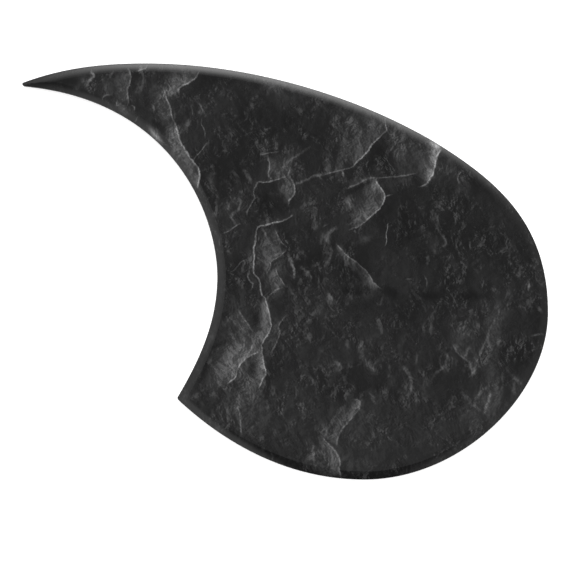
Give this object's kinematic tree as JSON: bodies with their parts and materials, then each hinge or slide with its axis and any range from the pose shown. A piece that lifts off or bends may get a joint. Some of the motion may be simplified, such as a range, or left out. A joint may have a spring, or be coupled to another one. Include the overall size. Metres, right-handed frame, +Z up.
{
  "type": "acoustic guitar pickguard",
  "caption": "Thin comma-shaped stick-on pickguard with a glossy dark slate face, bevelled edge, adhesive back and split release liner, shaped to curve round a sound-hole rosette.",
  "frame": {"origin": "middle of the outline's box, on the surface that the release liner lies on", "axes": "+X along the plate from the horn's tip to the rounded cheek, +Y across it towards the crown, +Z up out of the slate face"},
  "size_m": [0.1712, 0.1354, 0.003],
  "materials": {
    "slate_gloss": "black slate pattern under high gloss",
    "black_base": "satin black",
    "adhesive": "tacky, cloudy film",
    "liner_paper": "smooth silicone-coated kraft paper"
  },
  "bodies": {
    "liner": {"liner_main": "liner_paper"},
    "guard": {"slate_face": "slate_gloss", "base_ply": "black_base", "adhesive_film": "adhesive"},
    "strip": {"liner_strip": "liner_paper"}
  },
  "joints": [
    {"name": "guard_lift", "type": "slide", "parent": "liner", "child": "guard", "axis": [0, 0, 1], "range_m": [0, 0.03]},
    {"name": "strip_pull", "type": "slide", "parent": "liner", "child": "strip", "axis": [1, 0, 0], "range_m": [0, 0.026]}
  ]
}
